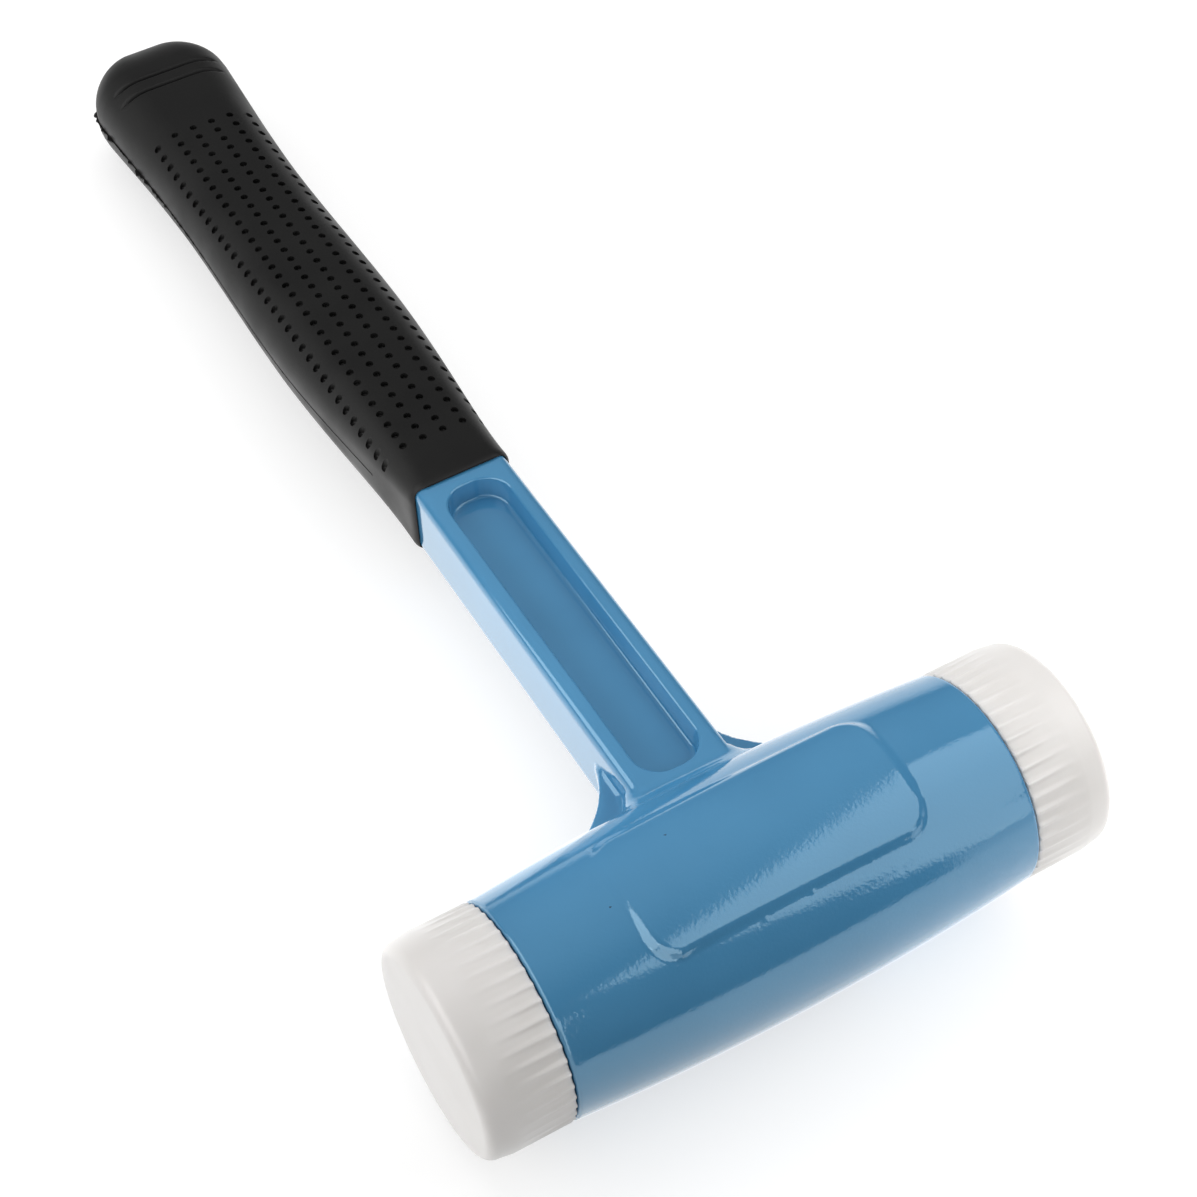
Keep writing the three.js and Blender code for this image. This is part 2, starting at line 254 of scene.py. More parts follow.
def addNode(tree, kind, values=None, **settings):
    node = tree.nodes.new(kind)
    for name, value in settings.items():
        setattr(node, name, value)
    for socket, value in (values or {}).items():
        node.inputs[socket].default_value = value
    return node


def link(tree, source, target):
    tree.links.new(source, target)


# Give a socket another node's output or a plain value
def feed(tree, socket, value):
    if isinstance(value, bpy.types.NodeSocket):
        link(tree, value, socket)
    else:
        socket.default_value = value


def mixColours(tree, share, first, second):
    mix = addNode(tree, "ShaderNodeMix", data_type="RGBA")
    for name, value in (("Factor", share), ("A", first), ("B", second)):
        feed(tree, mix.inputs[name], value)
    return mix.outputs["Result"]


def workOut(tree, operation, *values, **settings):
    node = addNode(tree, "ShaderNodeMath", operation=operation, **settings)
    for place, value in enumerate(values):
        feed(tree, node.inputs[place], value)
    return node.outputs["Value"]


def rescale(tree, value, fromLow, fromHigh, toLow, toHigh):
    ends = {"From Min": fromLow, "From Max": fromHigh, "To Min": toLow, "To Max": toHigh}
    node = addNode(tree, "ShaderNodeMapRange", ends)
    link(tree, value, node.inputs["Value"])
    return node.outputs["Result"]


def newGroup(name, inputs, outputs):
    group = bpy.data.node_groups.new(name, "ShaderNodeTree")
    for socket, kind in inputs:
        group.interface.new_socket(socket, in_out="INPUT", socket_type="NodeSocket" + kind)
    for socket, kind in outputs:
        group.interface.new_socket(socket, in_out="OUTPUT", socket_type="NodeSocket" + kind)
    return group, group.nodes.new("NodeGroupInput"), group.nodes.new("NodeGroupOutput")


def placeGroup(tree, group, values):
    node = addNode(tree, "ShaderNodeGroup", values, node_tree=group)
    link(tree, tree.nodes["objectPlace"].outputs["Object"], node.inputs["Place"])
    return node


def objectPlace(tree):
    node = addNode(tree, "ShaderNodeTexCoord")
    node.name = "objectPlace"
    return node.outputs["Object"]


# Broad clouds and fine grain of a surface, as values from 0 to 1
def makeGrainGroup():
    inputs = [("Place", "Vector"), ("Cloud Scale", "Float"), ("Grain Scale", "Float")]
    group, given, result = newGroup("surfaceGrain", inputs, [("Clouds", "Float"), ("Grain", "Float")])
    for size, output, detail in (("Cloud Scale", "Clouds", 3), ("Grain Scale", "Grain", 2)):
        noise = addNode(group, "ShaderNodeTexNoise", {"Detail": detail, "Roughness": 0.5})
        link(group, given.outputs["Place"], noise.inputs["Vector"])
        link(group, given.outputs[size], noise.inputs["Scale"])
        link(group, noise.outputs["Fac"], result.inputs[output])
    return group


# Scattered small ragged specks: a mask that is 1 on a speck
def makeSpeckGroup():
    inputs = [("Place", "Vector"), ("Scale", "Float"), ("Size", "Float"), ("Share", "Float")]
    group, given, result = newGroup("strewnSpecks", inputs, [("Mask", "Float")])
    cells = addNode(group, "ShaderNodeTexVoronoi")
    link(group, given.outputs["Place"], cells.inputs["Vector"])
    link(group, given.outputs["Scale"], cells.inputs["Scale"])
    ragged = addNode(group, "ShaderNodeTexNoise", {"Scale": 2600, "Detail": 1})
    link(group, given.outputs["Place"], ragged.inputs["Vector"])
    raggedness = 0.06
    reach = workOut(group, "MULTIPLY_ADD", ragged.outputs["Fac"], raggedness, cells.outputs["Distance"])
    near = workOut(group, "LESS_THAN", reach, given.outputs["Size"])
    drawn = addNode(group, "ShaderNodeSeparateColor")
    link(group, cells.outputs["Color"], drawn.inputs["Color"])
    chosen = workOut(group, "LESS_THAN", drawn.outputs["Red"], given.outputs["Share"])
    link(group, workOut(group, "MULTIPLY", near, chosen), result.inputs["Mask"])
    return group


surfaceGrain = makeGrainGroup()
strewnSpecks = makeSpeckGroup()
cloudRange = (0.3, 0.7)  # values that the clouds keep to, nearly everywhere


# Two shades in broad clouds, with specks strewn over them; gives back the clouds and the grain
def mottle(tree, shader, look, first, second, speck):
    scales = {"Cloud Scale": look["cloudScale"], "Grain Scale": look["grainScale"]}
    grain = placeGroup(tree, surfaceGrain, scales)
    clouds = rescale(tree, grain.outputs["Clouds"], *look["cloudSpread"], 0, 1)
    colour = mixColours(tree, clouds, first, second)
    scale, size, share = look["specks"]
    specks = placeGroup(tree, strewnSpecks, {"Scale": scale, "Size": size, "Share": share})
    colour = mixColours(tree, specks.outputs["Mask"], colour, speck)
    link(tree, colour, shader.inputs["Base Color"])
    return grain.outputs["Clouds"], grain.outputs["Grain"]


def addRelief(tree, shader, height, strength, depth):
    bump = addNode(tree, "ShaderNodeBump", {"Strength": strength, "Distance": depth})
    link(tree, height, bump.inputs["Height"])
    link(tree, bump.outputs["Normal"], shader.inputs["Normal"])


# Specks of a finish: cells in a metre, size in a cell, and share of the cells that have one
glossPaint = {
    "blue": (0.055, 0.215, 0.393, 1),
    "deepBlue": (0.048, 0.197, 0.366, 1),
    "speck": (0.02, 0.05, 0.09, 1),
    "gleam": (0.66, 0.90, 1.0, 1),  # colour of the gloss itself
    "cloudScale": 35,
    "cloudSpread": (0.35, 0.65),
    "specks": (110, 0.065, 0.06),
    "grainScale": 1300,  # of the orange peel
    "peelDepth": 0.027 * mm,
    "shankPeel": 0.2,  # share of the peel that is left on the shank
    "peelEnds": (24 * mm, 36 * mm),  # from the head axis
}


# Gloss paint on a casting: orange peel on the barrel, a little unevenness, specks of dirt
def makePaint():
    look = glossPaint
    settings = {"Roughness": 0.075, "IOR": 1.5, "Specular IOR Level": 0.95, "Specular Tint": look["gleam"]}
    material, tree, shader = newMaterial("glossPaint", settings)
    place = objectPlace(tree)
    grain = mottle(tree, shader, look, look["blue"], look["deepBlue"], look["speck"])[1]
    split = addNode(tree, "ShaderNodeSeparateXYZ")
    link(tree, place, split.inputs["Vector"])
    barrelEnd, shankStart = (headPlace.y + reach for reach in look["peelEnds"])
    share = rescale(tree, split.outputs["Y"], barrelEnd, shankStart, 1, look["shankPeel"])
    addRelief(tree, shader, workOut(tree, "MULTIPLY", grain, share), 1.0, look["peelDepth"])
    return material


blackRubber = {
    "black": (0.0025, 0.0025, 0.0025, 1),
    "bloom": (0.0048, 0.0048, 0.0046, 1),
    "dust": (0.08, 0.08, 0.075, 1),
    "cloudScale": 60,
    "cloudSpread": (0.35, 0.7),
    "specks": (300, 0.07, 0.035),
    "grainScale": 2200,
    "grainDepth": 0.03 * mm,
    "roughness": (0.42, 0.58),
}


# Moulded rubber: a faint bloom on the surface, fine moulding grain, a few grains of dust
def makeRubber():
    look = blackRubber
    settings = {"Roughness": 0.5, "IOR": 1.42, "Specular IOR Level": 0.32}
    material, tree, shader = newMaterial("blackRubber", settings)
    objectPlace(tree)
    clouds, grain = mottle(tree, shader, look, look["black"], look["bloom"], look["dust"])
    link(tree, rescale(tree, clouds, *cloudRange, *look["roughness"]), shader.inputs["Roughness"])
    addRelief(tree, shader, grain, 0.5, look["grainDepth"])
    return material


milkNylon = {
    "milk": (0.72, 0.70, 0.685, 1),
    "cream": (0.68, 0.66, 0.64, 1),
    "speck": (0.16, 0.14, 0.12, 1),
    "cloudScale": 45,
    "cloudSpread": (0.35, 0.65),
    "specks": (90, 0.035, 0.04),
    "grainScale": 900,
    "grainDepth": 0.02 * mm,
    "milkDepth": 3.5 * mm,  # how far light goes into it
}


# Natural nylon: milky, slightly uneven, with a stray dark speck from the mould
def makeNylon():
    look = milkNylon
    settings = {"Roughness": 0.36, "IOR": 1.53, "Subsurface Weight": 0.5,
                "Subsurface Scale": look["milkDepth"], "Subsurface Radius": (1.0, 0.97, 0.94)}
    material, tree, shader = newMaterial("milkNylon", settings)
    objectPlace(tree)
    grain = mottle(tree, shader, look, look["milk"], look["cream"], look["speck"])[1]
    addRelief(tree, shader, grain, 0.4, look["grainDepth"])
    return material


turnedSteel = {
    "bright": (0.60, 0.60, 0.61, 1),
    "dull": (0.42, 0.42, 0.43, 1),
    "oil": (0.16, 0.15, 0.14, 1),
    "cloudScale": 120,
    "cloudSpread": (0.35, 0.65),
    "specks": (420, 0.2, 0.08),
    "grainScale": 1500,
    "roughness": (0.25, 0.42),
    "toolMarks": (2600, 20, 20),  # scale along the head axis and across it
    "markDepth": 0.02 * mm,
}


# Turned steel: tool marks round the head axis, dull patches and traces of oil
def makeSteel():
    look = turnedSteel
    material, tree, shader = newMaterial("turnedSteel", {"Metallic": 1.0, "Roughness": 0.32})
    place = objectPlace(tree)
    clouds = mottle(tree, shader, look, look["bright"], look["dull"], look["oil"])[0]
    link(tree, rescale(tree, clouds, *cloudRange, *look["roughness"]), shader.inputs["Roughness"])
    marks = addNode(tree, "ShaderNodeTexNoise", {"Scale": 1.0, "Detail": 1})
    squeeze = addNode(tree, "ShaderNodeMapping", {"Scale": look["toolMarks"]})
    link(tree, place, squeeze.inputs["Vector"])
    link(tree, squeeze.outputs["Vector"], marks.inputs["Vector"])
    addRelief(tree, shader, marks.outputs["Fac"], 0.6, look["markDepth"])
    return material


# Material of each slot, and the angle in degrees past which an edge stays sharp
finishes = {
    "paint": (makePaint(), 40),
    "rubber": (makeRubber(), 38),
    "nylon": (makeNylon(), 45),
    "steel": (makeSteel(), 35),
}
print("materials made")

# Painted casting: barrel, pad, shank and tang
casting = {
    "voxel": 0.7,
    "smoothPasses": 5,
    "tangStart": 136,
    "tangOverlap": 5,
    "fillRadius": 21.5,
    "pocketFill": (3, 6),  # how much wider and longer the fill is than the pocket
    "boreSteps": 96,
    "padLength": 66,
    "padHeight": 30,
    "padCentre": -1.7,
    "padCorner": 6,
    "padRise": 0.5,
    "padFlattening": 2.3,
    "padCrown": 0.5,  # share of the barrel's crown that the pad follows
    "padEdge": (3.3, 2.5),  # width of the slope at the pad's ends, and above and below it
    "padFade": 0.6,  # share of its rise that the pad loses at its upper left
    "padFadeSpan": (0.7, 1.4),  # from 0 at the lower right corner to 1.5 at the upper left one
    "padReach": 2,  # off the barrel, as far as points go with the pad
    "padTop": 18,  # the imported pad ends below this
    "padSink": (0.1, 0.02),  # what stands proud by the first is sunk by the second
    "fineEdge": 3,  # finer faces this near to the pad's edge
    "fineFront": 12,  # in front of this
    "fineEnd": 2,  # and this near to the barrel's ends
    "endRound": 0.7,
    "barrelFade": (2.2, 1.2),  # from the barrel's ends, where its truing fades and is gone
    "endSnap": (5, 3),  # from the barrel's ends, where their truing starts and is full
    "barrelSnap": (0.12, 0.55),  # off the true form, up to where truing is full and where it ends
    "shankSnap": (0.35, 0.7),
    "rootBlend": 4,
    "tangBevel": 3,
}
shankPocket = {
    "width": 16,
    "start": 30,
    "end": 126.8,
    "depth": 5.6,
    "corner": 6.8,
    "draft": 0.55,
    "floorFillet": 0.7,
    "rimRound": 0.6,
    "rimTurn": 70,  # degrees that the rim turns before it meets the front
    "floorRing": 0.4,
    "around": 360,
}
paintRuns = [  # along the head, round the barrel in degrees, length, width, height
    (-27.5, -38.5, 1.2, 0.8, 0.14),
    (2.5, -40.0, 0.7, 0.5, 0.10),
    (17.0, -39.5, 0.6, 0.5, 0.07),
    (-9.0, -41.0, 0.6, 0.5, 0.07),
]


def crownAt(along):
    return middleRadius - hammer["barrelCrown"] * (along / halfBarrel) ** 2


# Distance off an outline with a round corner, and the way out from it, from how far a point lies
# past the corner's centre both ways; the distance is negative inside
def cornerDistance(overA, overB, corner):
    beyond = np.hypot(np.maximum(overA, 0), np.maximum(overB, 0))
    off = beyond + np.minimum(np.maximum(overA, overB), 0) - corner
    onCorner = (overA > 0) & (overB > 0)
    outA = np.where(onCorner, overA / np.maximum(beyond, tiny), overA > overB)
    outB = np.where(onCorner, overB / np.maximum(beyond, tiny), overA <= overB)
    return off, outA, outB


# Distance from the pad's outline, seen from the front, and the way out from it
def padDistance(x, y):
    corner = casting["padCorner"]
    overX = np.abs(x) - (casting["padLength"] / 2 - corner)
    overY = np.abs(y - casting["padCentre"]) - (casting["padHeight"] / 2 - corner)
    return cornerDistance(overX, overY, corner)


# Bring the barrel back to its turned form and raise the pad and the runs of paint on it
def trueBarrel(places):
    x, y, z = places.T
    radius = np.hypot(y, z)
    turn = np.arctan2(y, z)
    crown = crownAt(x)
    off = radius - crown
    fades, gone = casting["barrelFade"]
    inside = 1 - softStep(halfBarrel - fades, halfBarrel - gone, np.abs(x))
    snap = inside * (1 - softStep(*casting["barrelSnap"], np.abs(off)))
    trued = crown + off * (1 - snap)
    centreZ = casting["padRise"] - casting["padFlattening"]
    padRadius = middleRadius + casting["padCrown"] * (crown - middleRadius) + casting["padFlattening"]
    padSkin = centreZ * np.cos(turn) + np.sqrt(padRadius ** 2 - (centreZ * np.sin(turn)) ** 2)
    lean = 0.5 + (y - casting["padCentre"]) / casting["padHeight"] - x / casting["padLength"]
    kept = 1 - casting["padFade"] * softStep(*casting["padFadeSpan"], lean)
    padSkin = crown + (padSkin - crown) * kept
    distance, outX, outY = padDistance(x, y)
    edge = np.hypot(outX * casting["padEdge"][0], outY * casting["padEdge"][1]) / 2
    raised = crown + (padSkin - crown) * (1 - softStep(-edge, edge, distance))
    onPad = (z > 0) & (distance < 2 * edge) & (np.abs(off) < casting["padReach"])
    trued = np.where(onPad, raised, trued)
    for along, degrees, length, width, height in paintRuns:
        across = (turn - math.radians(degrees)) * crown
        trued += height * np.exp(-((x - along) / length) ** 2 - (across / width) ** 2) * (z > 0)
    scale = trued / np.maximum(radius, tiny)
    return np.column_stack((x, y * scale, z * scale))


# Bring the barrel's ends back to flat faces with a small round
def trueEnds(places):
    x, y, z = places.T
    radius = np.hypot(y, z)
    corner = casting["endRound"]
    pastX = np.abs(x) - (halfBarrel - corner)
    off, outX, outward = cornerDistance(pastX, radius - (crownAt(x) - corner), corner)
    full, none = casting["shankSnap"]
    near = 1 - softStep(full, 2 * none, np.abs(off))
    start, whole = casting["endSnap"]
    snap = near * softStep(halfBarrel - start, halfBarrel - whole, np.abs(x))
    scale = 1 - outward * off * snap / np.maximum(radius, tiny)
    return np.column_stack((x - np.sign(x) * outX * off * snap, y * scale, z * scale))


# Bring the shank back to its flat sides and round corners
def trueShank(places):
    x, y, z = places.T
    share = (y - middleRadius) / (grip["mouth"] - middleRadius)
    width = hammer["shankRootWidth"] + share * (hammer["shankMouthWidth"] - hammer["shankRootWidth"])
    corner = hammer["shankCorner"]
    overX = np.abs(x) - (width / 2 - corner)
    overZ = np.abs(z) - (hammer["shankThickness"] / 2 - corner)
    off, outX, outZ = cornerDistance(overX, overZ, corner)
    near = 1 - softStep(*casting["shankSnap"], np.abs(off))
    snap = near * softStep(middleRadius, middleRadius + casting["rootBlend"], y)
    truedX = x - np.sign(x) * outX * off * snap
    truedZ = z - np.sign(z) * outZ * off * snap
    return np.column_stack((truedX, y, truedZ))


# A tool for one pocket: floor fillet, leaning wall, and a rim that flares out into the front
def pocketTool(side):
    size = shankPocket
    rimZ = hammer["shankThickness"] / 2
    floorZ = rimZ - size["depth"]
    fillet, rim = size["floorFillet"], size["rimRound"]
    levels = []  # height, and how far the outline is drawn in
    for angle in np.linspace(0, math.pi / 2, 7):
        height = floorZ + fillet * (1 - math.cos(angle))
        levels.append((height, size["draft"] + fillet * (1 - math.sin(angle))))
    for angle in np.linspace(0, math.radians(size["rimTurn"]), 6):
        levels.append((rimZ - rim + rim * math.sin(angle), -rim * (1 - math.cos(angle))))
    flare = math.tan(math.radians(size["rimTurn"]))
    past, top = 0.1, 2  # above the front, where the flare ends and where the tool does
    levels.append((rimZ + past, levels[-1][1] - (rimZ + past - levels[-1][0]) * flare))
    levels.append((rimZ + top, levels[-1][1]))
    heights, insets = np.array(levels).T
    middle, halfLength = (size["start"] + size["end"]) / 2, (size["end"] - size["start"]) / 2
    bpy.ops.mesh.primitive_cylinder_add(vertices=size["around"], radius=5 * mm,
                                        depth=(heights[-1] - heights[0]) * mm,
                                        location=(0, 0, (heights[-1] + heights[0]) / 2 * mm))
    piece = newPiece("pocketTool")
    applyPlace(piece)
    startEdit(piece)
    for height in heights[1:-1]:
        bpy.ops.mesh.select_all(action="SELECT")
        bpy.ops.mesh.bisect(plane_co=(0, 0, height * mm), plane_no=(0, 0, 1))
    endEdit()
    x, y, z = placesOf(piece).T
    inset = np.interp(z, heights, insets)
    outX, outY = roundRectangle(quarterShare(x, y), size["width"] / 2 - inset,
                                halfLength - inset, size["corner"] - inset)
    setPlaces(piece, np.column_stack((np.sign(x) * outX, middle + np.sign(y) * outY, side * z)))
    # a ring of faces inside the floor, so that its middle stays flat
    clearPicks(piece, "FACE")
    for face in piece.data.polygons:
        face.select = abs(face.center.z / mm - side * floorZ) < 0.01
    editPicks(piece)
    bpy.ops.mesh.inset(thickness=size["floorRing"] * mm)
    endEdit()
    cleanMesh(piece)
    return piece


# A box with rounded edges along the handle
def handleBar(name, width, thickness, start, end, corner):
    bpy.ops.mesh.primitive_cube_add(size=1, location=(0, (start + end) / 2 * mm, 0))
    piece = newPiece(name)
    piece.scale = (width * mm, (end - start) * mm, thickness * mm)
    applyPlace(piece)
    clearPicks(piece, "EDGE")
    for edge in piece.data.edges:
        first, second = (piece.data.vertices[i].co for i in edge.vertices)
        edge.select = abs(first.y - second.y) > 1 * mm
    editPicks(piece)
    bpy.ops.mesh.bevel(offset=corner * mm, segments=5, affect="EDGES")
    endEdit()
    return piece


# A tool for the chamber and the seats of the two plugs
def boreTool():
    seat = halfBarrel - hammer["plugThickness"] - fitGap
    plugBore = hammer["plugRadius"] + fitGap
    chamber = hammer["chamberRadius"]
    past = halfBarrel + 1
    profile = [(0, -past), (plugBore, -past), (plugBore, -seat), (chamber, -seat),
               (chamber, seat), (plugBore, seat), (plugBore, past), (0, past)]
    return turnProfile("boreTool", profile, casting["boreSteps"])


def makeCasting():
    solid = frame["nodes"]["hammer_body"]
    piece = addObject("castBody", solid.data.copy())
    piece.data.transform(laid.inverted())
    cleanMesh(piece)
    # sink the pad back into the barrel: it is raised again with a soft edge
    places = placesOf(piece)
    x, y, z = places.T
    radius, crown = np.hypot(y, z), crownAt(x)
    above, below = casting["padSink"]
    proud = (z > 0) & (y < casting["padTop"]) & (radius > crown + above)
    places[proud, 1:] *= ((crown - below) / radius)[proud, None]
    setPlaces(piece, places)
    # take the tang off and fill the bore and the pockets, then skin the whole casting evenly
    startEdit(piece)
    bpy.ops.mesh.bisect(plane_co=(0, casting["tangStart"] * mm, 0), plane_no=(0, 1, 0),
                        use_fill=True, clear_outer=True)
    fillLength = hammer["barrelLength"] - 0.05  # just short of the barrel's ends
    bpy.ops.mesh.primitive_cylinder_add(vertices=64, radius=casting["fillRadius"] * mm,
                                        depth=fillLength * mm, rotation=(0, math.pi / 2, 0))
    pocketMiddle = (shankPocket["start"] + shankPocket["end"]) / 2
    wider, longer = casting["pocketFill"]
    pocketFill = (shankPocket["width"] + wider, shankPocket["end"] - shankPocket["start"] + longer,
                  hammer["shankThickness"])
    bpy.ops.mesh.primitive_cube_add(size=mm, location=(0, pocketMiddle * mm, 0), scale=pocketFill)
    endEdit()
    useModifier(piece, "REMESH", mode="VOXEL", voxel_size=casting["voxel"] * mm)
    useModifier(piece, "SMOOTH", factor=0.5, iterations=casting["smoothPasses"])
    # finer faces round the pad and at the barrel's ends
    x, y, z = placesOf(piece).T
    radius = np.hypot(y, z)
    fineEdge, fineEnd = casting["fineEdge"], casting["fineEnd"]
    band = np.abs(padDistance(x, y)[0]) < fineEdge
    band &= (z > casting["fineFront"]) & (radius > middleRadius - fineEdge)
    band |= (np.abs(x) > halfBarrel - fineEnd) & (radius > hammer["barrelEndRadius"] - fineEnd)
    clearPicks(piece)
    piece.data.vertices.foreach_set("select", band)
    editPicks(piece)
    bpy.ops.mesh.select_mode(type="FACE")
    bpy.ops.mesh.subdivide(number_cuts=1)
    endEdit()
    setPlaces(piece, trueShank(trueEnds(trueBarrel(placesOf(piece)))))
    for side in (1, -1):
        cutOrJoin(piece, pocketTool(side), "DIFFERENCE")
    tang = handleBar("tangBar", hammer["tangWidth"], hammer["tangThickness"],
                     casting["tangStart"] - casting["tangOverlap"], hammer["tangEnd"], casting["tangBevel"])
    cutOrJoin(piece, tang, "UNION")
    cutOrJoin(piece, boreTool(), "DIFFERENCE")
    finishPiece(piece, "hammer", "hammer_body", "paint")


# Rubber grip
gripDimples = {
    "columns": (-13.63, -8.18, -2.73, 2.73, 8.18, 13.63),
    "rows": 34,
    "first": 144.4,
    "last": 278.6,
    "radius": 0.92,
    "mouthRadius": 1.15,  # at the top of the pin, above the surface
    "pinLength": 4,
    "pinRound": 0.5,
    "depth": 1.5,
    "sides": 14,
}
gripFlash = {
    "thickness": 0.4,
    "rise": 0.3,
    "leastRise": 0.35,  # share of the rise near the mouth
    "growth": (0.45, 0.95),  # shares of its length where it starts to grow and is full
    "tatters": 0.9,
    "rooted": (1.5, 0.2),  # depth of its inner and middle edges in the rubber
    "tooth": (284, 0.9, 0.8),  # where, height, half width, on the left side only
    "start": 150,
    "end": 317,
    "pieces": 220,
    "seed": 7,
}


# Smooth curve through the grip's stations, as sizes at the given distances
def gripSizes(distances):
    stations = np.array(gripStations, float)
    samples = []
    for i in range(len(stations) - 1):
        before, start = stations[max(i - 1, 0)], stations[i]
        end, after = stations[i + 1], stations[min(i + 2, len(stations) - 1)]
        for t in np.linspace(0, 1, grip["curveSteps"]):
            leave, arrive = (end - before) / 2, (after - start) / 2
            cubic = 2 * start - 2 * end + leave + arrive
            square = 3 * end - 3 * start - 2 * leave - arrive
            samples.append(cubic * t ** 3 + square * t ** 2 + leave * t + start)
    samples = np.array(samples)
    butt = 1 - np.clip((grip["end"] - distances) / grip["buttRound"], 0, 1)
    share = np.sqrt(1 - butt ** 2)
    sizes = []
    for column in (1, 2, 3):
        along = np.interp(distances, samples[:, 0], samples[:, column])
        endSize = grip["endSize"][column - 1]
        sizes.append(np.where(butt > 0, endSize + (stations[-1][column] - endSize) * share, along))
    lip = np.clip(1 - (distances - grip["mouth"]) / grip["lipRound"], 0, 1)
    inset = grip["lipInset"] * (1 - np.sqrt(1 - lip ** 2))
    return sizes[0] / 2 - inset, sizes[1] / 2 - inset, sizes[2]


# How far round its quarter a point lies, as a share of the whole way round
def quarterShare(across, up):
    return np.minimum(np.arctan2(np.abs(up), np.abs(across)) / (2 * math.pi), 0.25 - 1e-9)


# Point on a rounded rectangle at a share of the way round it
def roundRectangle(share, halfWidth, halfThickness, corner):
    straightX, straightZ, bend = halfWidth - corner, halfThickness - corner, corner * math.pi / 2
    quarter = straightX + straightZ + bend
    along = (share % 0.25) * 4 * quarter
    onSide = along < straightZ
    onBend = ~onSide & (along < straightZ + bend)
    angle = np.where(onBend, (along - straightZ) / corner, 0)
    x = np.where(onSide, halfWidth, straightX + corner * np.cos(angle))
    z = np.where(onSide, along, straightZ + corner * np.sin(angle))
    past = ~onSide & ~onBend
    x = np.where(past, straightX - (along - straightZ - bend), x)
    z = np.where(past, halfThickness, z)
    return x, z


# Height of the grip's front above the handle's middle plane
def gripFront(x, y):
    halfWidth, halfThickness, corner = (float(size[0]) for size in gripSizes(np.array([float(y)])))
    over = max(abs(x) - (halfWidth - corner), 0)
    return halfThickness - corner + math.sqrt(max(corner ** 2 - over ** 2, 0))


# Rings of points up the grip: close at the lip, the grooves and the butt
def gripRingPlaces():
    lip = grip["mouth"] + grip["lipRound"] * np.array([0.06, 0.18, 0.36, 0.6, 1.0])
    clear = 2  # on either side of the grooves
    body = np.arange(grip["mouth"] + grip["lipRound"] + 0.7, grip["grooves"][0] - clear, grip["ringStep"])
    grooved = np.arange(grip["grooves"][0] - 1.9, grip["grooves"][1] + clear, grip["grooveStep"])
    roundStart = grip["end"] - grip["buttRound"]
    angles = np.linspace(0, math.pi / 2, 26)[1:-1]
    butt = roundStart + grip["buttRound"] * np.sin(angles)
    return np.concatenate((lip, body, grooved, butt))


def makeGripBlank():
    length = grip["end"] - grip["mouth"]
    middle = (grip["end"] + grip["mouth"]) / 2
    bpy.ops.mesh.primitive_cylinder_add(vertices=grip["around"], radius=grip["blankRadius"] * mm,
                                        depth=length * mm, location=(0, middle * mm, 0),
                                        rotation=(-math.pi / 2, 0, 0))
    piece = newPiece("rubberGrip")
    applyPlace(piece)
    startEdit(piece)
    for y in gripRingPlaces():
        bpy.ops.mesh.select_all(action="SELECT")
        bpy.ops.mesh.bisect(plane_co=(0, y * mm, 0), plane_no=(0, 1, 0))
    endEdit()
    x, y, z = placesOf(piece).T
    halfWidth, halfThickness, corner = gripSizes(y)
    outX, outZ = roundRectangle(quarterShare(x, z), halfWidth, halfThickness, corner)
    # two grooves across the front and back of the butt
    before, past = grip["grooveFade"]
    fade = 1 - softStep(grip["grooveReach"] - before, grip["grooveReach"] + past, outX)
    for groove in grip["grooves"]:
        dip = np.exp(-((y - groove) / grip["grooveHalfWidth"]) ** 2)
        outZ = outZ - grip["grooveDepth"] * dip * fade * (outZ > 0.5 * halfThickness)
    reshape(piece, np.sign(x) * outX, y, np.sign(z) * outZ)
    return piece


# One blunt pin of the mould, copied to every dimple
def dimpleTool():
    size = gripDimples
    bpy.ops.mesh.primitive_cylinder_add(vertices=size["sides"], radius=size["radius"] * mm,
                                        depth=size["pinLength"] * mm)
    pin = newPiece("dimplePin")
    clearPicks(pin, "EDGE")
    for edge in pin.data.edges:
        edge.select = all(pin.data.vertices[i].co.z < -1 * mm for i in edge.vertices)
    editPicks(pin)
    bpy.ops.mesh.bevel(offset=size["pinRound"] * mm, segments=3, affect="EDGES")
    endEdit()
    for point in pin.data.vertices:
        if point.co.z > 0:
            point.co.xy *= size["mouthRadius"] / size["radius"]
    pins = []
    for y in np.linspace(size["first"], size["last"], size["rows"]):
        for x in size["columns"]:
            height = gripFront(x, y) - size["depth"] + size["pinLength"] / 2
            for side in (1, -1):
                copy = addObject("dimplePin", pin.data.copy())
                copy.location = (x * mm, y * mm, side * height * mm)
                copy.rotation_euler = (0 if side > 0 else math.pi, 0, 0)
                pins.append(copy)
    bpy.data.objects.remove(pin)
    pickOnly(*pins)
    bpy.ops.object.join()
    joined = newPiece("dimpleTool")
    applyPlace(joined)
    return joined


